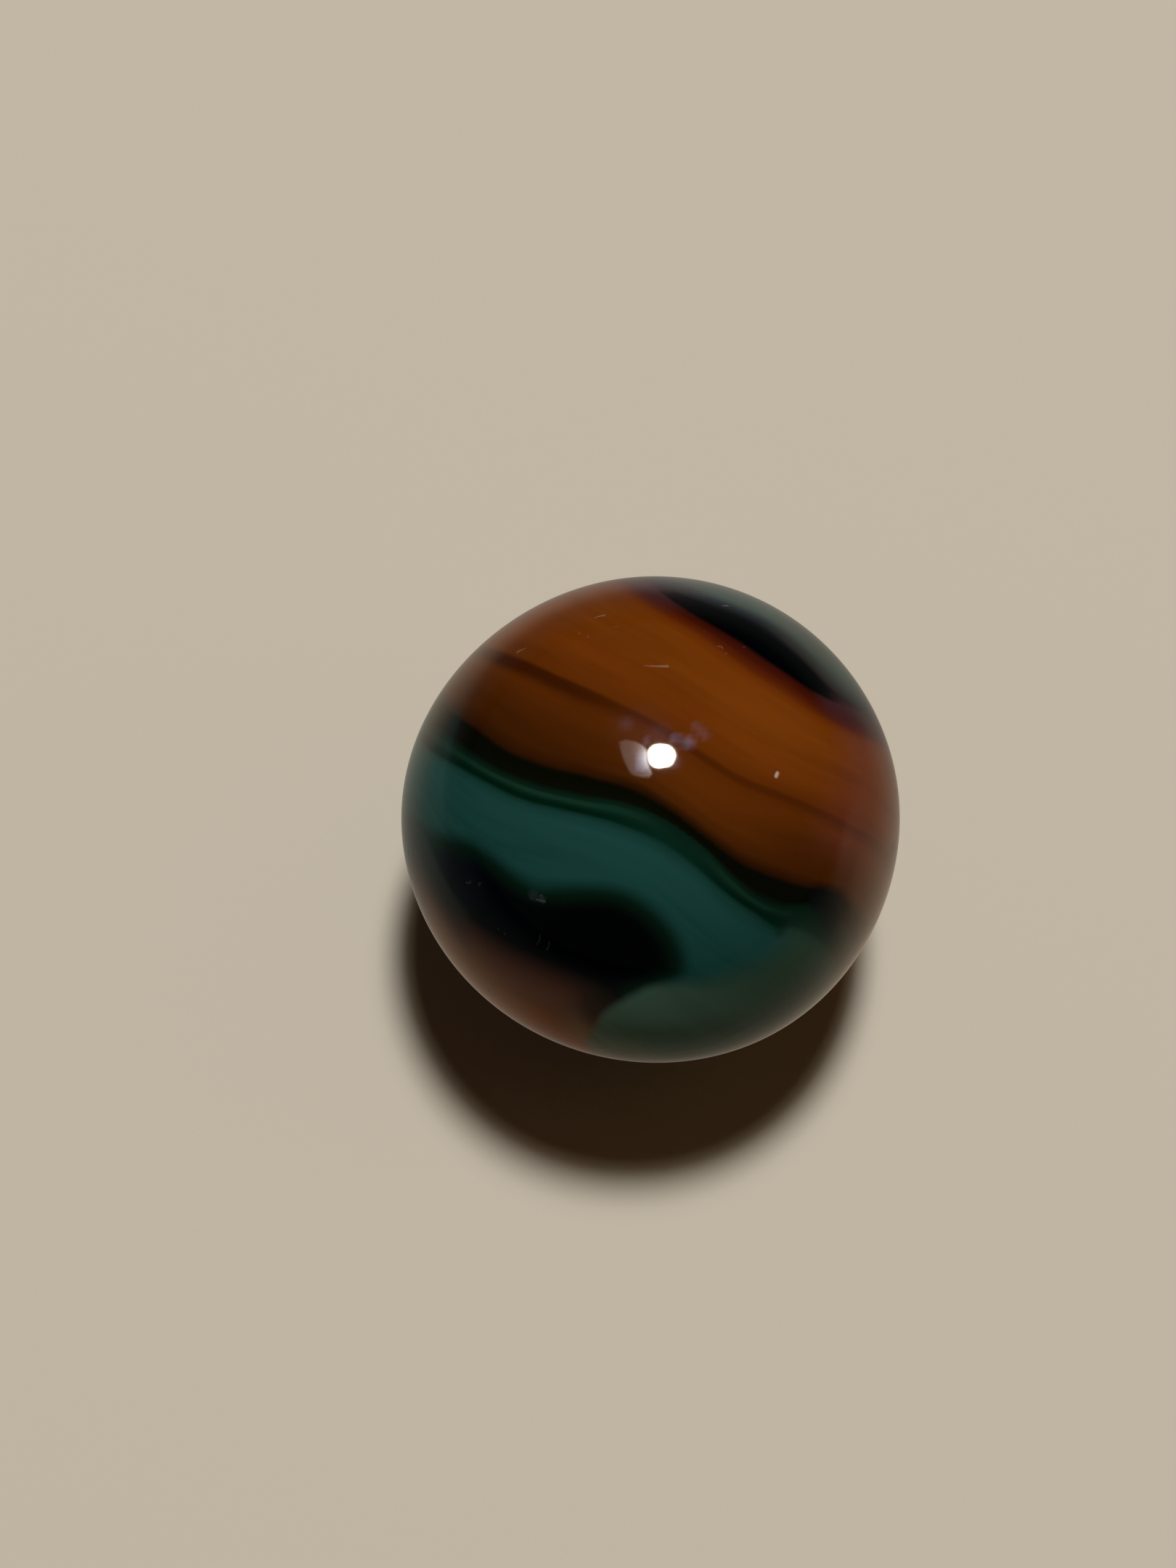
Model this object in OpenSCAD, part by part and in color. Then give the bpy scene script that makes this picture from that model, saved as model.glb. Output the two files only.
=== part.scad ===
// Glass marble: one solid ball of opaque glass, cut off hot and rolled round.
// The rolling left it slightly out of round, a little longer along one axis.
// The origin is the centre of the ball, +X runs along its longest diameter, and +Z is up.

/* [Ball] */
// Longest diameter of the ball, from left to right along X
length = 16; // [10:0.1:40]
// Diameter of the ball from front to back, along Y
width = 15.6; // [10:0.1:40]
// Diameter of the ball from bottom to top, along Z
height = 15.6; // [10:0.1:40]

/* [Glass] */
// Main colour of the glass, between its orange, black and green streams
glass_colour = "saddlebrown"; // [saddlebrown, darkslategray, black, darkorange]

/* [Hidden] */
// Fineness of the round surface
$fa = 2;
$fs = 0.3;

// A ball of diameter x, drawn in or out along Y and Z to its other two diameters
module ellipsoid(x, y, z) {
    scale([1, y / x, z / x])
        sphere(d = x);
}

module marble() {
    color(glass_colour)
        ellipsoid(length, width, height);
}

marble();
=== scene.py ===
"""The looks of a small glass marble: opaque glass in streams of amber, black and blue-green.

The ball is modelled in the CAD ball's own box, with the knocks of its skin pressed into it. The streams
are laid out by longitude and latitude, in degrees, about an axis of their own. They are written to the
mesh as layers, and the material reads them from there.
"""
import math

import bpy
import numpy as np
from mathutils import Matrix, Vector

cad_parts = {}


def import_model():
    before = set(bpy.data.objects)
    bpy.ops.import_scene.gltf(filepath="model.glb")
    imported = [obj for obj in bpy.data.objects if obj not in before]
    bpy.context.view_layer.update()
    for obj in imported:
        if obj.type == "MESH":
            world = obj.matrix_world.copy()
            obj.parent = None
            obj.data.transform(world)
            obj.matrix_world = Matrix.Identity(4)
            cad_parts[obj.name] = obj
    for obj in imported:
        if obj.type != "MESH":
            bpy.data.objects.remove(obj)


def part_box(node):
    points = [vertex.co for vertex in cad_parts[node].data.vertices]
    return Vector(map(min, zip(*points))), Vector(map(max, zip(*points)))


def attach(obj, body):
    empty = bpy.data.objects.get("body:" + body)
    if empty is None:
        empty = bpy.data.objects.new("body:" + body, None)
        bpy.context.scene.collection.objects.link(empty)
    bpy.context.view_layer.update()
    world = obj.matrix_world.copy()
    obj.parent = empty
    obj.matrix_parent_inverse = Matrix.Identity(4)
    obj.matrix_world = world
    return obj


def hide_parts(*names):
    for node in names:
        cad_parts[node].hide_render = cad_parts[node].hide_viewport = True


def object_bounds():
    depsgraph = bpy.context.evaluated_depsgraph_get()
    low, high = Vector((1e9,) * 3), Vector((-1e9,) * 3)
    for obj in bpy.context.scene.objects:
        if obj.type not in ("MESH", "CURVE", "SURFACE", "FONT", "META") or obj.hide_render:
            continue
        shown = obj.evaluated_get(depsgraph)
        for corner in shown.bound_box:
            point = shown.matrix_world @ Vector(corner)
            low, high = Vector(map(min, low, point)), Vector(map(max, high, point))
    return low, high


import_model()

CAD_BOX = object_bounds()
BALL_LOW, BALL_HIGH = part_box("marble")
MM = 0.001
RADIUS = (BALL_HIGH[2] - BALL_LOW[2]) / 2
TINY = 1e-9

# ---------------------------------------------------------------- the streams

AXIS_HEADING = math.radians(61)  # of the axis that the streams run round, from +X towards +Y
AXIS_RISE = math.radians(13)  # of that axis above the level

AXIS = np.array([
    math.cos(AXIS_RISE) * math.cos(AXIS_HEADING),
    math.cos(AXIS_RISE) * math.sin(AXIS_HEADING),
    math.sin(AXIS_RISE),
])
CREST = np.array([0.0, 0.0, 1.0]) - AXIS * AXIS[2]  # longitude 0 runs over the top of the ball
CREST /= np.linalg.norm(CREST)
ALONG = np.cross(AXIS, CREST)  # longitude 90

# Borders between the streams, north to south: points (longitude, latitude) in degrees
CAP_EDGE = [
    (-150, 46), (-105, 50), (-70, 55), (-45, 56), (-30, 57.5), (-20, 59.5), (-10, 61.6), (0, 62.6),
    (10, 62.2), (20, 60.6), (30, 58), (38, 55.4), (46, 54), (60, 54.5), (80, 56), (110, 62),
    (150, 56), (180, 48),
]
CRESCENT_FOOT = [
    (-150, 36), (-105, 44), (-70, 53), (-45, 53), (-30, 51.5), (-20, 51), (-10, 51), (0, 51),
    (10, 50.3), (20, 49.7), (30, 49.4), (38, 50), (46, 51.5), (60, 52), (80, 52), (110, 50),
    (150, 40), (180, 35),
]
FRINGE_FOOT = [
    (-150, 32), (-105, 40), (-70, 49), (-45, 48.5), (-30, 47.5), (-10, 47.2), (0, 46.2), (10, 45.7),
    (20, 45.4), (30, 44.8), (40, 45), (60, 47), (80, 48), (110, 45), (150, 34), (180, 30),
]
STREAK_LINE = [
    (-150, 10), (-105, 12), (-70, 13.4), (-55, 14.6), (-40, 15.7), (-30, 16.4), (-20, 17.4),
    (-10, 18.4), (0, 18.7), (10, 18), (20, 17.9), (30, 19.6), (40, 21.1), (50, 22), (65, 22.5),
    (85, 20), (115, 14), (150, 10), (180, 9),
]
AMBER_FOOT = [
    (-150, -6), (-105, -4), (-70, -2), (-50, -3), (-40, -3.3), (-30, -3.7), (-20, -2.3), (-10, 0.6),
    (0, 3.2), (10, 3.3), (20, 2.1), (30, 1.4), (40, 3.1), (50, 5.3), (57, 6.8), (66, 6),
    (85, 2), (115, -4), (150, -5), (180, -5),
]
RIBBON_EDGE = [
    (-150, -10), (-105, -8), (-70, -7.5), (-50, -8.6), (-40, -9.2), (-30, -9), (-20, -7.6),
    (-10, -4.6), (0, -0.7), (10, 1.2), (20, 0.5), (30, -2.2), (38, -3.1), (45, -1.9), (51, 1.2),
    (58, 2.4), (68, 1.5), (85, -4), (115, -14), (150, -13), (180, -10),
]
THIN_LINE = [
    (-150, -13), (-105, -11), (-70, -11), (-50, -12), (-40, -11.4), (-30, -11.2), (-20, -10.1),
    (-10, -7.4), (0, -4.2), (10, -2.4), (20, -3), (30, -4.9), (40, -5.4), (46, -5.1), (50, -3.8),
    (60, -3), (85, -8), (115, -18), (150, -16), (180, -13),
]
TEAL_TOP = [
    (-150, -15), (-105, -13), (-70, -12.6), (-50, -13.4), (-40, -13), (-30, -12.7), (-20, -11.6),
    (-10, -8.8), (0, -5.6), (10, -3.7), (20, -4.2), (30, -6.2), (40, -7.1), (46, -7), (50, -5.3),
    (60, -4.4), (85, -10), (115, -20), (150, -18.5), (180, -15),
]
PATCH_TOP = [
    (-150, -52), (-105, -44), (-75, -32), (-60, -28.5), (-52, -29.5), (-46, -33.5), (-40, -38),
    (-33, -41.8), (-25, -43.8), (-18, -44.4), (-10, -44.2), (0, -43.1), (10, -41.5), (18, -40.5),
    (24, -40.6), (30, -41.4), (45, -43), (80, -46), (120, -55), (150, -58), (180, -57),
]

# Height that each border has on the even scale that the material reads
LEVELS = [
    (62, CAP_EDGE), (51, CRESCENT_FOOT), (46.5, FRINGE_FOOT), (18, STREAK_LINE),
    (4, AMBER_FOOT), (0, RIBBON_EDGE), (-3.2, THIN_LINE), (-5, TEAL_TOP), (-43, PATCH_TOP),
]

# How strongly each of these shows along its length: points (longitude, share)
STREAK_SHARE = [
    (-150, 0.3), (-100, 0.8), (-55, 1), (-30, 0.95), (-20, 0.8), (-8, 0.4), (0, 0.15),
    (12, 0.1), (25, 0.15), (45, 0.25), (65, 0.4), (100, 0.8), (150, 0.4), (180, 0.2),
]
THREAD_SHARE = [
    (-150, 0.3), (-40, 0.3), (-10, 0.4), (4, 0.5), (14, 0.5), (25, 0.4), (40, 0.35), (60, 0.25),
    (100, 0), (180, 0.3),
]
CAP_SHARE = [
    (-150, 0.1), (-40, 0), (0, 0.02), (12, 0.22), (30, 0.32), (46, 0.3), (60, 0.12), (100, 0),
    (180, 0.1),
]
# Rosy tint: on the ball's right side a painted rosy reflection, fainter on its far side
ROSE_SHARE = [
    (-180, 0.1), (-100, 0.3), (-70, 0.1), (-50, 0), (38, 0), (45, 0.12), (52, 0.26), (60, 0.25),
    (72, 0.1), (100, 0), (150, 0.2),
]
LINE_SHARE = [
    (-150, 0.9), (-90, 0.7), (-40, 0.9), (-10, 1), (2, 0.7), (10, 0.1), (20, 0.15), (30, 0.8),
    (42, 0.8), (50, 0.2), (70, 0), (110, 0.7), (150, 1), (180, 1),
]
CRESCENT_SHARE = [
    (-150, 0.9), (-100, 0.6), (-65, 0.1), (-46, 0.55), (-38, 0.82), (-30, 0.82), (-22, 0.86), (-12, 0.95),
    (0, 1), (32, 1), (38, 0.85), (44, 0.35), (60, 0), (85, 0), (110, 0.6), (150, 1), (180, 1),
]
# Painted purple reflection along the upper sides of the ball, beside the crescent
PURPLE_REFLECTION_SHARE = [
    (-150, 0), (-90, 0.2), (-60, 0.7), (-45, 0.8), (-34, 0.5), (-26, 0.1), (0, 0), (32, 0.1),
    (38, 0.55), (46, 0.8), (62, 0.7), (90, 0.3), (150, 0), (180, 0),
]
BLUE_SHARE = [
    (-150, 0.2), (-90, 0.6), (-60, 1), (-48, 1), (-40, 0.9), (-30, 0.75), (-20, 0.3), (-10, 0.15), (0, 0),
    (60, 0), (180, 0),
]
AMBER_SHADE = [
    (-150, 0.6), (-90, 0.5), (-50, 0.66), (-30, 0.68), (-15, 0.68), (-8, 0.6), (0, 0.4), (10, 0.15),
    (22, 0.2), (32, 0.4), (42, 0.6), (60, 0.5), (100, 0.3), (150, 0.5), (180, 0.6),
]
AMBER_GLOW = [
    (-150, 0), (-90, 0.3), (-50, 0.24), (-20, 0.24), (0, 0.21), (12, 0.54), (40, 0.54), (60, 0.48),
    (90, 0.12), (150, 0.24), (180, 0.12),
]

# Closed outlines that lie over the bands: corners (longitude, latitude) in degrees
POOL = [
    (-56, -29), (-48, -28), (-40, -26.4), (-32, -24.5), (-24, -24.1), (-15, -25.2), (-9, -25.2),
    (-4, -22.4), (2, -18.5), (8, -15.6), (14, -14.6), (21, -15.4), (28, -18), (34, -22),
    (37.5, -27), (36, -33), (33, -40), (33, -52), (0, -60), (-40, -58), (-62, -48), (-66, -38),
]
SIDE = [
    (50, -4), (51, -9), (50, -15), (47, -20), (43.5, -25), (38.5, -28.8), (34.2, -31.8), (31.2, -35),
    (30.2, -38.5), (29.4, -41.5), (28.9, -44.5), (28.9, -48.5), (30.6, -52.6), (33, -56.2),
    (37.5, -61), (50, -67), (80, -69), (110, -64), (138, -57), (156, -51), (136, -45), (114, -37),
    (98, -27), (84, -15), (70, -5), (58, -2),
]
BACK_LENS = [
    (78, 24), (95, 28), (115, 30), (135, 28), (158, 24), (178, 19), (150, 16), (125, 12),
    (105, 14), (88, 20),
]
AMBER_LENS = [
    (120, -30), (138, -34), (160, -31), (-175, -27), (-150, -24), (-160, -34), (175, -40),
    (150, -44), (130, -39),
]
# Fan of frosted glass beside the highlight: rougher, and painted pale as haze of the highlight
FROST_AND_HAZE = [
    (-8.6, 11.3), (-6.2, 12.9), (-4.4, 13.3), (-2.6, 13.0), (-1.6, 11.9), (-0.7, 10.6), (0.5, 9.7),
    (1.8, 8.9), (2.4, 7.9), (0.0, 6.6), (-2.1, 6.2), (-4.0, 7.2), (-6.0, 8.6),
]
BAND_END = [
    (50, 6.2), (54, 7.2), (59, 7.2), (62.5, 4.5), (64, 1.5), (62.6, -1), (59, -1.2), (55, 0.4),
    (51.5, 1.4), (49, 3.5),
]
LINE_END = [
    (42, -4.6), (46, -4), (48.6, -5.2), (49.3, -7), (48.2, -8.2), (46.6, -7), (44.5, -5.8), (42, -5.6),
]
CURL = [(120, 72), (150, 66), (-170, 62), (-130, 64), (-100, 72), (-130, 76), (180, 74), (150, 78)]

# Small lavender spots: about the highlight a painted haze and painted glints of the highlight, near
# latitude -29 the tint of a real bluish mark. Place, size in degrees and share
SHEEN_AND_MARK_SPOTS = [
    ((1.6, 18.4), 0.85, 0.2), ((4.6, 19.2), 1.35, 0.15), ((4.0, 23.6), 0.9, 0.05),
    ((5.8, 23.1), 0.9, 0.06), ((7.2, 22.6), 0.9, 0.05), ((-9.6, 15.5), 1.6, 0.035),
    ((-3.3, 14.4), 0.8, 0.12),
    ((-2.2, 17.2), 2.8, 0.025), ((-6, 16), 6, 0.007), ((5.0, 13.6), 1.0, 0.05),
    ((-1.9, 10.9), 1.3, 0.35), ((-0.9, 9.5), 1.4, 0.35),
    ((-7.9, -29.6), 1.25, 0.022), ((-5.5, -29.3), 0.9, 0.03),
]
SPOT_END = 1.4  # where a spot ends, in its sizes

# How wide the soft edge of the side is at each latitude, both in degrees
SIDE_SOFTNESS = [
    (-90, 2.5), (-50, 2.5), (-43, 3.2), (-35, 3.5), (-31, 4.5), (-26, 8), (-18, 12), (10, 14),
]

LOOP_STEPS = 8  # from each corner of an outline to the next
THINNEST = 0.05  # degrees from one border to the next, at the least


def around(points, where):
    """Height of a smooth closed line through points, at each longitude in where."""
    lon, lat = np.array(sorted(points), float).T
    lon = np.concatenate([lon[-2:] - 360, lon, lon[:2] + 360])
    lat = np.concatenate([lat[-2:], lat, lat[:2]])
    slope = np.gradient(lat, lon)
    i = np.clip(np.searchsorted(lon, where, side="right") - 1, 0, len(lon) - 2)
    span = lon[i + 1] - lon[i]
    t = (where - lon[i]) / span
    return (
        lat[i] * (1 + 2 * t) * (1 - t) ** 2
        + slope[i] * span * t * (1 - t) ** 2
        + lat[i + 1] * t * t * (3 - 2 * t)
        + slope[i + 1] * span * t * t * (t - 1)
    )


def place_on_ball(lon, lat):
    """Unit vector to a place given by its longitude and latitude about the streams' axis."""
    lon, lat = np.radians(lon), np.radians(lat)
    level = np.cos(lat) * np.cos(lon), np.cos(lat) * np.sin(lon)
    return np.outer(np.sin(lat), AXIS) + np.outer(level[0], CREST) + np.outer(level[1], ALONG)


def longitude_latitude(unit):
    """Longitude and latitude of each unit vector about the streams' axis, in degrees."""
    lon = np.degrees(np.arctan2(unit @ ALONG, unit @ CREST))
    return lon, np.degrees(np.arcsin(np.clip(unit @ AXIS, -1, 1)))


def smooth_loop(corners):
    """A closed Catmull-Rom curve through the corners, in even steps from each to the next."""
    here = np.asarray(corners, float)
    a, b = np.roll(here, 1, 0)[:, None], here[:, None]
    c, d = np.roll(here, -1, 0)[:, None], np.roll(here, -2, 0)[:, None]
    t = (np.arange(LOOP_STEPS) / LOOP_STEPS)[None, :, None]
    curve = (
        2 * b + (c - a) * t + (2 * a - 5 * b + 4 * c - d) * t**2 + (3 * b - a - 3 * c + d) * t**3
    )
    return curve.reshape(-1, here.shape[1]) / 2


def depth_inside(outline, unit):
    """How far each place on the ball lies inside a closed outline, in degrees, less than 0 outside."""
    corner = place_on_ball(*np.array(outline, float).T)
    middle = corner.mean(0)
    middle /= np.linalg.norm(middle)
    across = np.cross(AXIS, middle)
    across /= np.linalg.norm(across)
    upward = np.cross(middle, across)

    def flat(spots):
        """Spots laid flat about the middle, each at its own distance from it and in its own direction."""
        reach = np.degrees(np.arccos(np.clip(spots @ middle, -1, 1)))
        x, y = spots @ across, spots @ upward
        return np.stack([x, y], 1) * (reach / np.maximum(np.hypot(x, y), TINY))[:, None]

    loop = smooth_loop(flat(corner))
    place = flat(unit)
    nearest = np.full(len(place), np.inf)
    inside = np.zeros(len(place), bool)
    for start, end in zip(loop, np.roll(loop, -1, 0)):
        run = end - start
        share = np.clip((place - start) @ run / (run @ run), 0, 1)
        nearest = np.minimum(nearest, np.hypot(*(place - start - share[:, None] * run).T))
        if run[1]:
            crosses = (place[:, 1] < start[1]) != (place[:, 1] < end[1])
            x = start[0] + (place[:, 1] - start[1]) * run[0] / run[1]
            inside ^= crosses & (place[:, 0] < x)
    return np.where(inside, nearest, -nearest)


def stream_height(lon, lat):
    """Latitude with the waves of the borders taken out, so that each border lies at its own level."""
    north, south = np.full(len(lon), 90.0), np.full(len(lon), -90.0)
    tops = [90.0] + [level for level, _ in LEVELS] + [-90.0]
    lines = [north] + [around(edge, lon) for _, edge in LEVELS] + [south]
    height = south
    for high, low, top, foot in zip(lines, lines[1:], tops, tops[1:]):
        share = (lat - low) / np.maximum(high - low, THINNEST)
        height = np.where((lat > low) & (lat <= high), foot + share * (top - foot), height)
    return height


# ---------------------------------------------------------------- knocks and scratches

# Half width and depth of each kind of mark in mm, and the share of that width that it starts with
MARK_KINDS = {
    "hair": (0.022, 0.003, 1), "scratch": (0.030, 0.005, 1), "smear": (0.062, 0.004, 0.25),
    "pit": (0.045, 0.008, 1), "chip": (0.075, 0.018, 1),
}

PRESSED_CORE = 0.3  # share of a mark's half width that goes in by its whole depth
MARK_END = 1.2  # where a mark's paleness ends, in its half widths
MARK_STEPS = 8  # from each place on a mark to the next

# Kind, how pale it is and places (longitude, latitude) along it
MARKS = [
    ("smear", 0.16, [(-16.3, 30.1), (-13.9, 31.5), (-11.5, 33.1)]),
    ("smear", 0.14, [(-41.3, 34.6), (-40.7, 35.7), (-40.0, 36.6)]),
    ("smear", 0.13, [(-48.3, 19.0), (-49.0, 18.1), (-49.5, 17.2)]),
    ("chip", 0.6, [(27.0, 24.0), (27.0, 23.2)]),
    ("pit", 0.06, [(-38.9, 28.9)]),
    ("pit", 0.06, [(-35.6, 29.3)]),
    ("hair", 0.06, [(-32.9, 35.2), (-32.3, 35.8)]),
    ("pit", 0.10, [(-19.5, 61.6), (-18.8, 62.6)]),
    ("scratch", 0.10, [(-4.9, 46.0), (-4.1, 46.5), (-3.3, 46.2)]),
    ("hair", 0.05, [(1.6, 50.2), (2.2, 50.8)]),
    ("pit", 0.07, [(-1.3, 45.3)]),
    ("pit", 0.03, [(-29.2, -36.6), (-28.4, -36.3), (-27.7, -35.7)]),
    ("pit", 0.03, [(-24.6, -35.2), (-24.2, -34.6)]),
    ("pit", 0.03, [(-8.1, -30.4)]),
    ("pit", 0.05, [(-6.1, -28.5)]),
    ("pit", 0.06, [(-6.7, -30.1), (-5.6, -29.7), (-4.6, -29.4)]),
    ("pit", 0.02, [(-15.1, -43.4)]),
    ("pit", 0.02, [(-12.5, -43.7)]),
    ("hair", 0.035, [(-1.9, -38.0), (-1.4, -39.5), (-1.7, -41.1)]),
    ("hair", 0.035, [(1.3, -38.2), (1.8, -39.8), (1.7, -40.9)]),
]
VIEW_MIDDLE = (7.2, -0.2)  # the side that the marks above lie on
FRONT = 0.35  # cosine of the angle from that middle within which none is scattered
SCATTERED = 34  # marks on the other sides
MARK_SEED = 11
KIND_ODDS = {"hair": 0.2, "scratch": 0.2, "smear": 0.2, "pit": 0.4}
MARK_LENGTH = (1.0, 4.5)  # in degrees
MARK_BOW = 0.8  # degrees that a mark bows to either side, at the most
PALENESS = (0.04, 0.16)
POLE_START = 75  # latitude past which no mark is scattered

# Where the ball swells or lies flat: direction, height and reach in mm
SWELLS = [
    ((0.26, 0.93, 0.25), 0.05, 5.0), ((-1.0, 0.0, 0.0), 0.05, 5.5), ((0.50, -0.84, -0.22), 0.05, 5.0),
    ((-0.77, 0.62, 0.17), -0.03, 4.0), ((0.97, -0.25, -0.07), -0.03, 4.5),
    ((-0.08, -0.33, 0.93), 0.055, 5.5), ((0.08, 0.36, 0.93), -0.055, 5.5),
]


def scattered_marks():
    """Marks like those above, spread over the other sides of the ball."""
    draw = np.random.default_rng(MARK_SEED)
    front = place_on_ball(*np.array([VIEW_MIDDLE]).T)[0]
    marks = []
    while len(marks) < SCATTERED:
        spot = draw.normal(size=3)
        spot /= np.linalg.norm(spot)
        lon, lat = longitude_latitude(spot)
        kind = draw.choice(list(KIND_ODDS), p=list(KIND_ODDS.values()))
        least, most = (0, MARK_LENGTH[0], -MARK_BOW), (2 * math.pi, MARK_LENGTH[1], MARK_BOW)
        turn, length, bow = draw.uniform(least, most)
        paleness = draw.uniform(*PALENESS)
        if spot @ front > FRONT or abs(lat) > POLE_START:
            continue
        run = np.array([math.cos(turn) / math.cos(math.radians(lat)), math.sin(turn)]) * length
        side = np.array([-run[1], run[0]]) * bow / length
        middle = np.array([lon, lat])
        places = [middle - run / 2, middle + side, middle + run / 2]
        marks.append((kind, paleness, [middle] if kind == "pit" else places))
    return marks


# ---------------------------------------------------------------- the ball

CUBE_CUTS = 2  # of each side of the cube that the ball is made from
HALVINGS = 5  # of all its faces after that
FINER = (0.20, 0.10, 0.05)  # mm beyond each mark in which the faces are halved once more
MAP_CELLS = (3, 2)
MAP_MARGIN = 0.006  # of a cell


def only(piece):
    """Makes piece the one selected and active object."""
    bpy.ops.object.select_all(action="DESELECT")
    piece.select_set(True)
    bpy.context.view_layer.objects.active = piece


def apply_modifier(piece, kind, **values):
    """Adds a modifier with these values and applies it."""
    only(piece)
    modifier = piece.modifiers.new(kind.lower(), kind)
    for name, value in values.items():
        setattr(modifier, name, value)
    bpy.ops.object.modifier_apply(modifier=modifier.name)


def choose(piece, kind, chosen):
    """Opens piece in edit mode with only the chosen corners (VERT) or faces (FACE) selected."""
    only(piece)
    bpy.ops.object.mode_set(mode="EDIT")
    bpy.ops.mesh.select_mode(type=kind)
    bpy.ops.mesh.select_all(action="DESELECT")
    bpy.ops.object.mode_set(mode="OBJECT")
    items = piece.data.polygons if kind == "FACE" else piece.data.vertices
    items.foreach_set("select", chosen)
    bpy.ops.object.mode_set(mode="EDIT")


def divide(piece, faces=None, cuts=1):
    """Divides the chosen faces, or all of them, and puts every corner back on a ball of radius 1."""
    choose(piece, "FACE", np.ones(len(piece.data.polygons), bool) if faces is None else faces)
    bpy.ops.mesh.subdivide(number_cuts=cuts)
    bpy.ops.object.mode_set(mode="OBJECT")
    apply_modifier(piece, "CAST", cast_type="SPHERE", factor=1.0, size=1.0, radius=0.0)


def read_vectors(items, name):
    """One array row of three for each corner or face."""
    values = np.empty(len(items) * 3)
    items.foreach_get(name, values)
    return values.reshape(-1, 3)


def unit_corners(piece):
    """Direction of each corner from the middle of the ball."""
    place = read_vectors(piece.data.vertices, "co")
    return place / np.linalg.norm(place, axis=1, keepdims=True)


def lay_out_map(piece):
    """Lays the cube's six faces out on the piece's map, each in a cell of its own."""
    layer = piece.data.uv_layers.active or piece.data.uv_layers.new()
    layer.name = "OFBake"
    columns, rows = MAP_CELLS
    inner = 1 - 2 * MAP_MARGIN
    for face in piece.data.polygons:
        column, row = face.index % columns, face.index // columns
        for (u, v), loop in zip([(0, 0), (1, 0), (1, 1), (0, 1)], face.loop_indices):
            u = (column + MAP_MARGIN + u * inner) / columns
            v = (row + MAP_MARGIN + v * inner) / rows
            layer.data[loop].uv = (u, v)


def mark_path(places):
    """Unit vectors close together along a mark."""
    lon, lat = np.array(places, float).T
    if len(lon) == 1:
        return place_on_ball(lon, lat)
    given = np.arange(len(lon))
    steps = np.linspace(0, given[-1], MARK_STEPS * given[-1] + 1)
    return place_on_ball(np.interp(steps, given, lon), np.interp(steps, given, lat))


def reach_to(unit, path):
    """Distance in mm from each place on the ball to a mark's path, and how far along it that lies."""
    near = unit @ path.T
    along = near.argmax(1) / max(len(path) - 1, 1)
    return np.degrees(np.arccos(np.clip(near.max(1), -1, 1))) * math.radians(RADIUS / MM), along


def split_many_sided(piece):
    """Splits the many-sided faces, where fine ones meet coarse ones, about their middles."""
    only(piece)
    bpy.ops.object.mode_set(mode="EDIT")
    bpy.ops.mesh.select_mode(type="FACE")
    bpy.ops.mesh.select_face_by_sides(number=4, type="GREATER", extend=False)
    bpy.ops.mesh.poke()
    bpy.ops.object.mode_set(mode="OBJECT")


def bare_ball(marks):
    """A ball of radius 1: a cube divided and rounded off step by step, and finer at its marks."""
    bpy.ops.object.select_all(action="DESELECT")
    bpy.ops.mesh.primitive_cube_add(size=1.0)
    piece = bpy.context.active_object
    piece.name = "glass_marble"
    lay_out_map(piece)
    divide(piece, cuts=CUBE_CUTS)
    for _ in range(HALVINGS):
        divide(piece)
    for spare in FINER:
        middle = read_vectors(piece.data.polygons, "center")
        middle /= np.linalg.norm(middle, axis=1, keepdims=True)
        near = np.zeros(len(middle), bool)
        for kind, _, path in marks:
            near |= reach_to(middle, path)[0] < MARK_KINDS[kind][0] + spare
        divide(piece, near)
    split_many_sided(piece)
    return piece


def press_in(piece, marks):
    """Presses the marks in, one kind after another, each with a smooth falloff to its sides."""
    unit = unit_corners(piece)
    for kind, (half_width, depth, _) in MARK_KINDS.items():
        chosen = np.zeros(len(unit), bool)
        for name, _, path in marks:
            if name == kind:
                chosen |= reach_to(unit, path)[0] < PRESSED_CORE * half_width
        choose(piece, "VERT", chosen)
        bpy.ops.transform.shrink_fatten(
            value=-depth * MM / RADIUS,
            use_even_offset=False,
            use_proportional_edit=True,
            proportional_edit_falloff="SMOOTH",
            proportional_size=half_width * MM / RADIUS,
        )
        bpy.ops.object.mode_set(mode="OBJECT")


def swell(piece):
    """Draws the skin out or in at the broad swells."""
    for direction, height, reach in SWELLS:
        unit = unit_corners(piece)
        aim = np.array(direction) / np.linalg.norm(direction)
        choose(piece, "VERT", unit @ aim >= (unit @ aim).max() - TINY)
        bpy.ops.transform.translate(
            value=tuple(aim * height * MM / RADIUS),
            use_proportional_edit=True,
            proportional_edit_falloff="SMOOTH",
            proportional_size=reach * MM / RADIUS,
        )
        bpy.ops.object.mode_set(mode="OBJECT")


def write_layer(piece, name, values):
    """Stores one number, or one vector, for each corner under that name."""
    vector = values.ndim == 2
    layer = piece.data.attributes.new(name, "FLOAT_VECTOR" if vector else "FLOAT", "POINT")
    layer.data.foreach_set("vector" if vector else "value", values.astype(np.float32).ravel())


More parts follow.
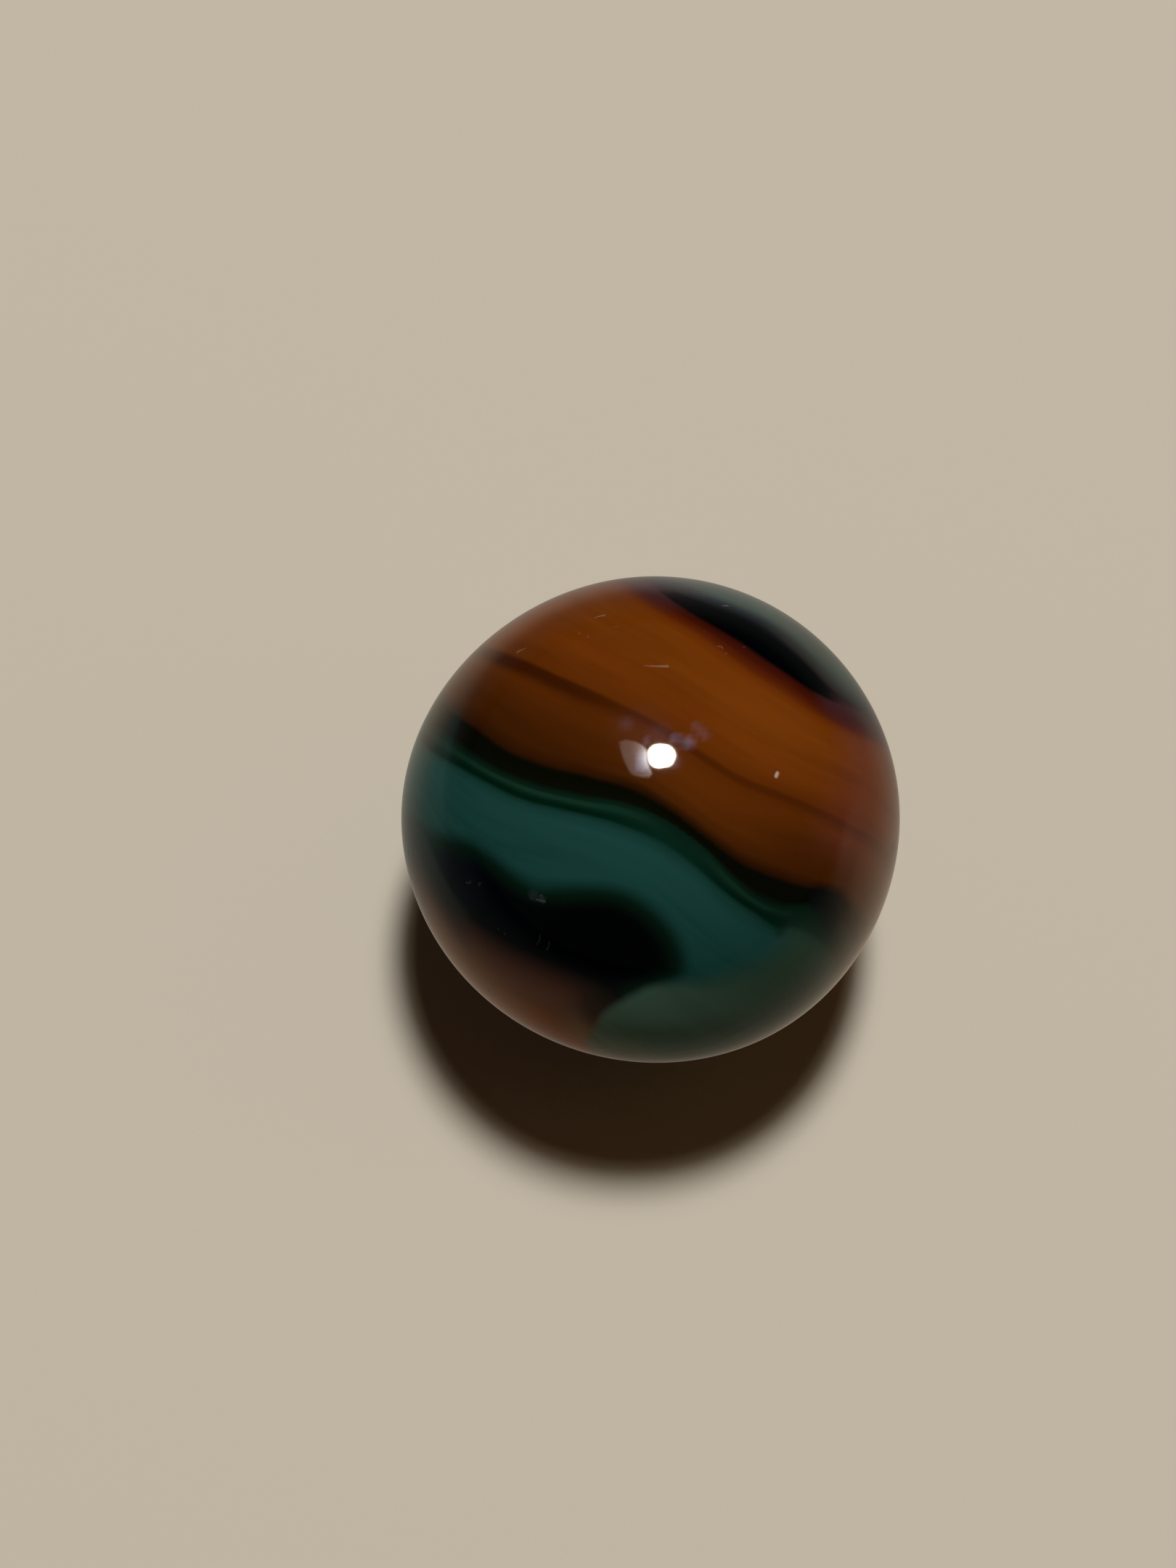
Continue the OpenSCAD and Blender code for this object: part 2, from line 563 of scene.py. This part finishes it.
def lay_streams(piece):
    """Writes where each corner lies in the streams."""
    unit = unit_corners(piece)
    lon, lat = longitude_latitude(unit)
    height = stream_height(lon, lat)
    out = np.cos(np.radians(lat))
    level = [out * np.cos(np.radians(lon)), out * np.sin(np.radians(lon))]
    write_layer(piece, "flow", np.stack(level + [np.radians(height)], 1))
    write_layer(piece, "height", height)
    for name, points in (
        ("streak", STREAK_SHARE), ("line", LINE_SHARE), ("crescent", CRESCENT_SHARE),
        ("shade", AMBER_SHADE), ("glow", AMBER_GLOW), ("purple_reflection", PURPLE_REFLECTION_SHARE),
        ("blue", BLUE_SHARE), ("thread", THREAD_SHARE), ("cap", CAP_SHARE), ("rose", ROSE_SHARE),
    ):
        write_layer(piece, name, around(points, lon))
    for name, outline in (
        ("pool", POOL), ("back_lens", BACK_LENS), ("amber_lens", AMBER_LENS), ("curl", CURL),
        ("band_end", BAND_END), ("line_end", LINE_END), ("frost_and_haze", FROST_AND_HAZE),
    ):
        write_layer(piece, name, depth_inside(outline, unit))
    spots = np.zeros(len(unit))
    for place, size, share in SHEEN_AND_MARK_SPOTS:
        reach = np.degrees(np.arccos(np.clip(unit @ place_on_ball(*place)[0], -1, 1)))
        spots = np.maximum(spots, share * np.clip(SPOT_END - reach / size, 0, 1))
    # share of the lavender spots: painted haze and glints about the highlight, and a real bluish mark
    write_layer(piece, "sheen_and_mark", spots)
    softness = np.interp(lat, *zip(*SIDE_SOFTNESS))
    write_layer(piece, "side", depth_inside(SIDE, unit) / softness)


def bruise(piece, marks):
    """Writes how pale the glass is at each mark."""
    unit = unit_corners(piece)
    pale = np.zeros(len(unit))
    for kind, paleness, path in marks:
        half_width, _, start = MARK_KINDS[kind]
        reach, along = reach_to(unit, path)
        width = half_width * (start + (1 - start) * along)
        share = np.clip(MARK_END - reach / width, 0, 1)
        pale = np.maximum(pale, paleness * share * share * (3 - 2 * share))
    write_layer(piece, "bruise", pale)


def fit_to_box(piece, low, high):
    """Resizes the ball to the box that the CAD ball holds."""
    place = read_vectors(piece.data.vertices, "co")
    span = place.max(0) - place.min(0)
    centre = (place.max(0) + place.min(0)) / 2
    growth = (np.array(high) - np.array(low)) / span
    only(piece)
    bpy.ops.object.mode_set(mode="EDIT")
    bpy.ops.mesh.select_all(action="SELECT")
    bpy.ops.transform.translate(value=tuple(-centre))
    bpy.ops.transform.resize(value=tuple(growth), center_override=(0, 0, 0))
    bpy.ops.object.mode_set(mode="OBJECT")


# ---------------------------------------------------------------- material


class Nodes:
    """Short calls that add nodes to one tree and link them."""

    def __init__(self, tree):
        self.tree = tree

    def add(self, kind, **values):
        node = self.tree.nodes.new(kind)
        for name, value in values.items():
            setattr(node, name, value)
        return node

    def feed(self, socket, value):
        """Links value to the socket if it is another node's output, and sets it there if not."""
        if isinstance(value, bpy.types.NodeSocket):
            self.tree.links.new(value, socket)
        else:
            socket.default_value = value

    def math(self, operation, *values):
        node = self.add("ShaderNodeMath", operation=operation)
        for socket, value in zip(node.inputs, values):
            self.feed(socket, value)
        return node.outputs[0]

    def product(self, *factors):
        """All the factors multiplied."""
        total = factors[0]
        for factor in factors[1:]:
            total = self.math("MULTIPLY", total, factor)
        return total

    def smooth(self, value, start, end):
        """0 before start, 1 after end and a smooth step between them."""
        node = self.add("ShaderNodeMapRange", interpolation_type="SMOOTHSTEP")
        self.feed(node.inputs["Value"], value)
        self.feed(node.inputs["From Min"], start)
        self.feed(node.inputs["From Max"], end)
        return node.outputs["Result"]

    def band(self, value, start, full, fade, end):
        """A smooth bump: 0 before start, 1 from full to fade and 0 after end."""
        return self.product(self.smooth(value, start, full), self.smooth(value, end, fade))

    def mix(self, share, first, second, blend="MIX"):
        node = self.add("ShaderNodeMix", data_type="RGBA", blend_type=blend)
        for name, value in (("Factor_Float", share), ("A_Color", first), ("B_Color", second)):
            self.feed(next(s for s in node.inputs if s.identifier == name), value)
        return next(s for s in node.outputs if s.identifier == "Result_Color")

    def layer(self, name, vector=False):
        node = self.add("ShaderNodeAttribute", attribute_name=name)
        return node.outputs["Vector" if vector else "Fac"]

    def noise(self, place, stretch, detail=2.0):
        """Cloudy noise from 0 to 1 on a place that is stretched first."""
        mapping = self.add("ShaderNodeMapping")
        self.feed(mapping.inputs["Vector"], place)
        self.feed(mapping.inputs["Scale"], stretch)
        node = self.add("ShaderNodeTexNoise")
        self.feed(node.inputs["Vector"], mapping.outputs[0])
        self.feed(node.inputs["Scale"], 1.0)
        self.feed(node.inputs["Detail"], detail)
        return node.outputs[0]


def colour(red, green, blue):
    """A colour given as it shows on a screen, from 0 to 255, on the even scale of light of the nodes."""
    shown = np.array([red, green, blue]) / 255
    linear = np.where(shown <= 0.04045, shown / 12.92, ((shown + 0.055) / 1.055) ** 2.4)
    return (*linear.tolist(), 1.0)


# Colour at each height of the even scale, north to south
BANDS = [
    (90, (44, 76, 63)), (69, (44, 71, 60)), (65, (34, 45, 47)), (61.5, (18, 20, 26)),
    (52.2, (24, 6, 9)), (50.5, (50, 12, 4)), (48.5, (64, 19, 4)), (46.5, (80, 28, 4)),
    (44.5, (97, 43, 4)), (42, (100, 46, 4)), (40, (101, 48, 4)), (34, (104, 50, 6)),
    (31, (99, 47, 5)), (28.5, (94, 42, 3)), (24, (96, 44, 5)), (21, (90, 41, 4)),
    (18, (86, 39, 3)), (13, (90, 42, 5)), (9, (87, 41, 4)), (6.4, (76, 36, 4)),
    (5.5, (52, 25, 3)), (4.6, (20, 12, 2)), (3.8, (8, 8, 2)), (1.0, (7, 9, 2)),
    (0.0, (8, 31, 20)), (-3.9, (7, 38, 28)), (-5.4, (22, 58, 51)), (-8, (27, 67, 62)),
    (-14, (26, 67, 62)), (-24, (25, 66, 61)), (-43, (22, 60, 52)),
]
PATCH_BANDS = [
    (-42, (4, 5, 7)), (-44, (14, 9, 8)), (-46, (36, 22, 15)), (-49, (64, 37, 27)),
    (-53, (88, 57, 41)), (-58, (110, 74, 56)), (-64, (122, 81, 54)), (-72, (122, 78, 46)),
    (-80, (110, 66, 37)), (-90, (96, 52, 25)),
]
STREAK_TONE = colour(54, 20, 1)
SHADE_TONE = colour(54, 23, 1)
GLOW_TONE = colour(114, 56, 10)
LINE_LIGHT = colour(19, 47, 34)
LINE_DARK = colour(1, 28, 15)
BLACK = colour(1, 2, 3)
DARK_GREEN = colour(6, 28, 18)
DEEP_TEAL = colour(14, 58, 47)
OLIVE = colour(22, 38, 27)
DARK_OLIVE = colour(24, 26, 15)
# painted purple reflection
PAINTED_PURPLE_REFLECTION = colour(60, 33, 38)
CAP_GREY = colour(62, 55, 42)
BLUE_END = colour(11, 14, 15)
# painted rosy reflection on the right side
ROSE = colour(106, 56, 52)
SMOKE = colour(31, 38, 34)
BLUE_BLACK = colour(4, 12, 18)
OLIVE_GREEN = colour(43, 66, 50)
GREY_GREEN = colour(70, 99, 85)
AMBER = colour(98, 46, 5)
RED_BROWN = colour(58, 16, 4)
PALE_SIDE = colour(86, 110, 93)
SAND_GREEN = colour(116, 110, 86)
PALE_GREEN = colour(176, 196, 186)
# pale of the marks, and of the painted haze of the highlight over the frosted fan
PALE = colour(212, 180, 166)
# lavender of the painted haze and glints about the highlight, and of a real bluish mark
SHEEN_AND_MARK_TONE = colour(186, 182, 214)

# Streaks in the bands, each laid over those before it: layer, the heights where it starts, is full,
# begins to fade and ends, and colour
STREAKS = [
    ("glow", (17, 30, 40, 46), GLOW_TONE),
    ("shade", (3.6, 4.8, 9.5, 18.5), SHADE_TONE),
    ("streak", (14.6, 17.2, 18, 19.3), STREAK_TONE),
    ("thread", (16.6, 17.6, 18.2, 19.2), STREAK_TONE),
    # painted rosy reflection on the right side
    ("rose", (7, 15, 43, 50), ROSE),
    ("line", (-2.4, -1.6, -1, -0.2), LINE_LIGHT),
    ("line", (-4.6, -3.7, -3.2, -2.3), LINE_DARK),
    ("cap", (57, 64, 95, 100), CAP_GREY),
    # painted purple reflection along the upper sides
    ("purple_reflection", (43.5, 51, 54, 64), PAINTED_PURPLE_REFLECTION),
    ("crescent", (50.4, 52.4, 59, 62.8), BLACK),
]

# Outlined patches, each laid over those before it: layer, depths inside the outline at which it
# starts and is full, share and colour
STREAM_ENDS = [("line_end", (-1.2, 1), 0.6, LINE_DARK), ("band_end", (-1.5, 1.5), 0.8, BLUE_END)]
FAR_PATCHES = [
    ("back_lens", (-1.5, 1), 1, RED_BROWN), ("back_lens", (0.5, 3), 1, BLACK),
    ("back_lens", (3.5, 6), 1, DEEP_TEAL), ("amber_lens", (-1.5, 0.5), 1, BLACK),
    ("amber_lens", (1, 3.5), 1, AMBER), ("curl", (-1, 2.5), 1, RED_BROWN),
]

# Noise that follows the streams: how fine it is on the two level axes and across the streams
WANDER_GRAIN = (3, 3, 14)
FINE_GRAIN = (1.5, 1.5, 17)
BROAD_GRAIN = (1.2, 1.2, 12)
WANDER = 1.2  # degrees that a border wanders in all
GRAIN_DARK = 0.36  # noise that shows darkest, not at all and lightest
GRAIN_MIDDLE = 0.52
GRAIN_LIGHT = 0.68
GRAIN_SHARE = 0.13

# Where a colour starts and where it is full over the one before it
POOL_GREEN = (-0.5, 4.5)  # depths inside the pool's outline
POOL_BLACK = (3, 8.5)
PATCH_HEIGHTS = (-41.5, -44.5)
SMOKE_HEIGHTS = (-62, -46)
SMOKE_BLUES = (0.5, 1)  # shares of blue in the pool
SIDE_TONES = [((0, -8), OLIVE_GREEN), ((-14, -46), GREY_GREEN), ((-47, -58), PALE_SIDE)]  # heights
SIDE_EDGE = (-0.5, 0.6)  # in widths of the side's soft edge
SIDE_MOTTLE = (0.45, 0.68)  # broad noise
MOTTLE_SHARE = 0.2
RIM_PALES = (-52, -61)  # heights

# The side's rim: where it starts, is full, begins to fade and ends
RIM_ACROSS = (-4, -1, -0.3, 0.4)  # in widths of the side's soft edge
RIM_HEIGHTS = (-72, -60, -46.5, -42)
RIM_SHARE = 0.65

# The skin, its wear and the painted haze of the highlight. Grain is in waves to the metre.
GLOSS = 0.05
GLASS_IOR = 1.5
SKIN_GRAIN = (1400, 1400, 1400)
SKIN_DEPTH = 0.004 * MM
FROST_EDGE = (-0.3, 0.5)  # depths inside its outline
FROST_GRAIN = (900, 900, 900)
FROST_LEAST = 0.7  # share of the frost where it is thinnest, and how much more it may be
FROST_MORE = 0.6
# share of pale colour over the frosted fan: painted haze of the highlight
PAINTED_HAZE_SHARE = 0.09
FROST_ROUGH = 0.10
BRUISE_ROUGH = 0.16
BRUISE_HEIGHTS = (0, -10)  # where the marks turn from a warm pale to a green one


def band_colours(n, height, bands):
    """The colours of plain bands, north to south."""
    ramp = n.add("ShaderNodeValToRGB")
    top, foot = bands[0][0], bands[-1][0]
    stops = ramp.color_ramp.elements
    stops.remove(stops[1])
    for i, (level, tone) in enumerate(bands):
        stop = stops.new((top - level) / (top - foot)) if i else stops[0]
        stop.color = colour(*tone)
    span = n.add("ShaderNodeMapRange")
    n.feed(span.inputs["Value"], height)
    n.feed(span.inputs["From Min"], float(top))
    n.feed(span.inputs["From Max"], float(foot))
    n.feed(ramp.inputs["Fac"], span.outputs["Result"])
    return ramp.outputs["Color"]


def lay_patches(n, tone, patches):
    """Lays outlined patches over the colours, each with its own soft edge."""
    for layer, edge, share, patch in patches:
        tone = n.mix(n.product(n.smooth(n.layer(layer), *edge), share), tone, patch)
    return tone


def stream_colours(n, height):
    """The bands with their streaks and lines."""
    tone = band_colours(n, height, BANDS)
    for layer, heights, streak in STREAKS:
        tone = n.mix(n.product(n.layer(layer), n.band(height, *heights)), tone, streak)
    return lay_patches(n, tone, STREAM_ENDS)


def lay_grain(n, tone, noise):
    """Darker and lighter grain along the streams."""
    dark = n.product(n.smooth(noise, GRAIN_MIDDLE, GRAIN_DARK), GRAIN_SHARE)
    tone = n.mix(dark, tone, (0.0, 0.0, 0.0, 1.0))
    light = n.product(n.smooth(noise, GRAIN_MIDDLE, GRAIN_LIGHT), GRAIN_SHARE)
    return n.mix(light, tone, n.mix(1.0, tone, tone, "SCREEN"))


def lay_pool(n, tone, height):
    """The black pool under the blue-green, and the brown patch under that."""
    pool, blue = n.layer("pool"), n.layer("blue")
    tone = n.mix(n.smooth(pool, *POOL_GREEN), tone, DARK_GREEN)
    tone = n.mix(n.smooth(pool, *POOL_BLACK), tone, n.mix(blue, BLACK, BLUE_BLACK))
    brown = band_colours(n, height, PATCH_BANDS)
    smoke = n.product(n.smooth(blue, *SMOKE_BLUES), n.smooth(height, *SMOKE_HEIGHTS))
    return n.mix(n.smooth(height, *PATCH_HEIGHTS), tone, n.mix(smoke, brown, SMOKE))


def lay_side(n, tone, height, broad):
    """The green side that lies over the ends of the pool and the patch, and its rim."""
    side = OLIVE
    for heights, green in SIDE_TONES:
        side = n.mix(n.smooth(height, *heights), side, green)
    side = n.mix(n.product(n.smooth(broad, *SIDE_MOTTLE), MOTTLE_SHARE), side, OLIVE_GREEN)
    edge = n.layer("side")
    rim = n.product(n.band(edge, *RIM_ACROSS), n.band(height, *RIM_HEIGHTS), RIM_SHARE)
    tone = n.mix(rim, tone, n.mix(n.smooth(height, *RIM_PALES), DARK_OLIVE, SAND_GREEN))
    return n.mix(n.smooth(edge, *SIDE_EDGE), tone, side)


def swirl_glass():
    """Opaque glass in streams, glossy and a little worn, with painted haze and glints about the highlight
    and painted purple and rosy reflections at its sides.
    """
    material = bpy.data.materials.new("swirl_glass")
    material.use_nodes = True
    n = Nodes(material.node_tree)
    shader = material.node_tree.nodes["Principled BSDF"]
    place = n.add("ShaderNodeTexCoord").outputs["Object"]
    flow = n.layer("flow", vector=True)

    wander = n.noise(flow, WANDER_GRAIN, detail=3.0)
    height = n.math("ADD", n.layer("height"), n.math("MULTIPLY_ADD", wander, WANDER, -WANDER / 2))
    fine = n.noise(flow, FINE_GRAIN, detail=3.0)
    broad = n.noise(flow, BROAD_GRAIN)
    grain = n.math("ADD", n.product(fine, 0.5), n.product(broad, 0.5))

    tone = stream_colours(n, height)
    tone = lay_grain(n, tone, grain)
    tone = lay_pool(n, tone, height)
    tone = lay_side(n, tone, height, broad)
    tone = lay_patches(n, tone, FAR_PATCHES)

    patchy = n.math("MULTIPLY_ADD", n.noise(place, FROST_GRAIN, detail=3.0), FROST_MORE, FROST_LEAST)
    frost_and_haze = n.product(n.smooth(n.layer("frost_and_haze"), *FROST_EDGE), patchy)
    # painted haze of the highlight: pale colour over the frosted fan
    tone = n.mix(n.product(frost_and_haze, PAINTED_HAZE_SHARE), tone, PALE)
    # painted haze and glints about the highlight, and the tint of a real bluish mark
    tone = n.mix(n.layer("sheen_and_mark"), tone, SHEEN_AND_MARK_TONE)
    bruised = n.layer("bruise")
    tone = n.mix(bruised, tone, n.mix(n.smooth(height, *BRUISE_HEIGHTS), PALE, PALE_GREEN))
    n.feed(shader.inputs["Base Color"], tone)

    rough = n.math("MAXIMUM", n.product(frost_and_haze, FROST_ROUGH), n.product(bruised, BRUISE_ROUGH))
    n.feed(shader.inputs["Roughness"], n.math("ADD", rough, GLOSS))
    bump = n.add("ShaderNodeBump")
    n.feed(bump.inputs["Height"], n.noise(place, SKIN_GRAIN, detail=1.0))
    bump.inputs["Distance"].default_value = SKIN_DEPTH
    n.feed(shader.inputs["Normal"], bump.outputs["Normal"])
    shader.inputs["IOR"].default_value = GLASS_IOR
    return material


def marble():
    """The finished ball, in the place of the CAD ball."""
    marks = [(kind, pale, mark_path(places)) for kind, pale, places in MARKS + scattered_marks()]
    piece = bare_ball(marks)
    lay_streams(piece)
    bruise(piece, marks)
    press_in(piece, marks)
    swell(piece)
    fit_to_box(piece, BALL_LOW, BALL_HIGH)
    piece.data.materials.append(swirl_glass())
    only(piece)
    bpy.ops.object.shade_smooth()
    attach(piece, "root")
    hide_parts("marble")


# ---------------------------------------------------------------- stage

FLOOR_TONE = colour(192, 183, 166)
FLOOR_RADIUS = 1.5
FLOOR_CORNERS = 128
FLOOR_ROUGHNESS = 0.9
WALL_TONE = colour(200, 194, 180)

# Pools of light that the glass mirrors off the floor, painted as a glow that only glossy rays see, the
# one with negative light a painted shadow: middle and size in mm, how firm the edge is, light
MIRRORED = [
    ((0, 0), (80, 80), 2, (0.032, 0.034, 0.031)),
    ((1, 6), (20, 20), 3, (0.150, 0.140, 0.115)),
    ((-27, 8), (19, 13), 3, (0.060, 0.100, 0.090)),
    ((-15, 15), (9, 9), 2, (0.150, 0.050, 0.005)),
    ((4, 20), (10, 8), 2, (0.105, 0.073, 0.078)),
    ((60, -2), (48, 13), 2, (0.160, 0.108, 0.070)),
    ((20, -3), (13, 6), 2, (0.205, 0.133, 0.073)),
    ((0, -13), (8, 7), 2, (-0.105, -0.118, -0.092)),
    ((-9, -9), (6, 6), 2, (0.060, 0.022, 0.000)),
]


def floor():
    """A plain pale floor that the ball lies on, mirrored by the glass as painted pools of light and a
    painted shadow.
    """
    bpy.ops.object.select_all(action="DESELECT")
    bpy.ops.mesh.primitive_circle_add(
        vertices=FLOOR_CORNERS,
        radius=FLOOR_RADIUS,
        fill_type="NGON",
        location=(0, 0, CAD_BOX[0][2]),
    )
    piece = bpy.context.active_object
    piece.name = "floor"
    material = bpy.data.materials.new("floor")
    material.use_nodes = True
    n = Nodes(material.node_tree)
    shader = material.node_tree.nodes["Principled BSDF"]
    shader.inputs["Base Color"].default_value = FLOOR_TONE
    shader.inputs["Roughness"].default_value = FLOOR_ROUGHNESS
    shader.inputs["Specular IOR Level"].default_value = 0.0
    place = n.add("ShaderNodeTexCoord").outputs["Object"]
    glow = n.add("ShaderNodeEmission")
    total = (0.0, 0.0, 0.0)
    for middle, size, firmness, light in MIRRORED:
        shift = n.add("ShaderNodeVectorMath", operation="SUBTRACT")
        n.feed(shift.inputs[0], place)
        shift.inputs[1].default_value = (middle[0] * MM, middle[1] * MM, 0.0)
        reach = n.add("ShaderNodeVectorMath", operation="DIVIDE")
        n.feed(reach.inputs[0], shift.outputs[0])
        reach.inputs[1].default_value = (size[0] * MM, size[1] * MM, 1.0)
        square = n.add("ShaderNodeVectorMath", operation="DOT_PRODUCT")
        n.feed(square.inputs[0], reach.outputs[0])
        n.feed(square.inputs[1], reach.outputs[0])
        edge = n.math("POWER", square.outputs["Value"], float(firmness))
        share = n.add("ShaderNodeVectorMath", operation="SCALE")
        share.inputs[0].default_value = light
        n.feed(share.inputs["Scale"], n.math("DIVIDE", 1.0, n.math("ADD", edge, 1.0)))
        added = n.add("ShaderNodeVectorMath", operation="ADD")
        n.feed(added.inputs[0], total)
        n.feed(added.inputs[1], share.outputs[0])
        total = added.outputs[0]
    n.feed(glow.inputs["Color"], total)
    both = n.add("ShaderNodeMixShader")
    n.feed(both.inputs[0], n.add("ShaderNodeLightPath").outputs["Is Glossy Ray"])
    n.feed(both.inputs[1], shader.outputs[0])
    n.feed(both.inputs[2], glow.outputs[0])
    n.feed(material.node_tree.nodes["Material Output"].inputs["Surface"], both.outputs[0])
    piece.data.materials.append(material)


LAMP_HEADING = math.radians(80.2)  # of the lamp from the ball, from +X towards +Y
LAMP_RISE = math.radians(71.75)
LAMP_FAR = 1.6
LAMP_SHARE = 0.96  # of the light on the floor that comes from the lamp

# The lamp's wide dim part and its bright middle: how wide it looks from the ball, share, colour
LAMP_PARTS = [(math.radians(12), 0.45, (1.0, 0.90, 0.74)), (math.radians(7.5), 0.72, (0.78, 0.83, 0.93))]
BOUNCE_HEADING = math.radians(15)  # of the room's warm light
BOUNCE_RISE = math.radians(45)
BOUNCE_PARTS = [(math.radians(40), 0.02, (1.0, 0.55, 0.1))]


def shine(heading, rise, parts, mirrored):
    """Round soft lights in one direction. Shares that come to 1 show the floor in its own colour."""
    level = math.cos(rise)
    way = Vector((level * math.cos(heading), level * math.sin(heading), math.sin(rise)))
    for spread, share, tone in parts:
        data = bpy.data.lights.new("lamp", "AREA")
        data.shape = "DISK"
        data.size = 2 * LAMP_FAR * math.tan(spread / 2)
        data.color = tone
        data.energy = math.pi**2 * LAMP_FAR**2 * LAMP_SHARE * share / math.sin(rise)
        piece = bpy.data.objects.new("lamp", data)
        piece.location = way * LAMP_FAR
        piece.rotation_euler = way.to_track_quat("Z", "Y").to_euler()
        piece.visible_glossy = mirrored
        bpy.context.scene.collection.objects.link(piece)


def lamp():
    """One soft lamp nearly overhead, brighter and cooler in its middle, and a weak warm side light."""
    shine(LAMP_HEADING, LAMP_RISE, LAMP_PARTS, True)
    shine(BOUNCE_HEADING, BOUNCE_RISE, BOUNCE_PARTS, False)


FILL = (0.036, 0.0215, 0.014, 1.0)  # the light of the room from all round
ROOM_MIRRORED = (0.01, 0.01, 0.009, 1.0)  # the same light as the glass mirrors it


def world():
    """A dim warm room with a pale wall."""
    room = bpy.data.worlds.new("room")
    room.use_nodes = True
    n = Nodes(room.node_tree)
    back = room.node_tree.nodes["Background"]
    path = n.add("ShaderNodeLightPath")
    dim = n.mix(path.outputs["Is Glossy Ray"], FILL, ROOM_MIRRORED)
    n.feed(back.inputs["Color"], n.mix(path.outputs["Is Camera Ray"], dim, WALL_TONE))
    bpy.context.scene.world = room


VIEW_RISE = math.radians(75)
VIEW_FAR = 119.1 * MM
LENS = 85.0
SENSOR = 36.0
AIM_RIGHT = -2.068 * MM  # of the view's middle from the ball's
AIM_UP = 0.997 * MM


def camera():
    """The camera, looking down on the ball from in front of it."""
    data = bpy.data.cameras.new("camera")
    data.lens = LENS
    data.sensor_width = SENSOR
    piece = bpy.data.objects.new("camera", data)
    bpy.context.scene.collection.objects.link(piece)
    back = Vector((0, -math.cos(VIEW_RISE), math.sin(VIEW_RISE)))
    right = Vector((1, 0, 0))
    up = back.cross(right)
    piece.location = back * VIEW_FAR
    aim = AIM_RIGHT * right + AIM_UP * up
    piece.rotation_euler = (piece.location - aim).to_track_quat("Z", "Y").to_euler()
    bpy.context.scene.camera = piece


bpy.context.scene.view_settings.view_transform = "Standard"
marble()
floor()
lamp()
world()
camera()
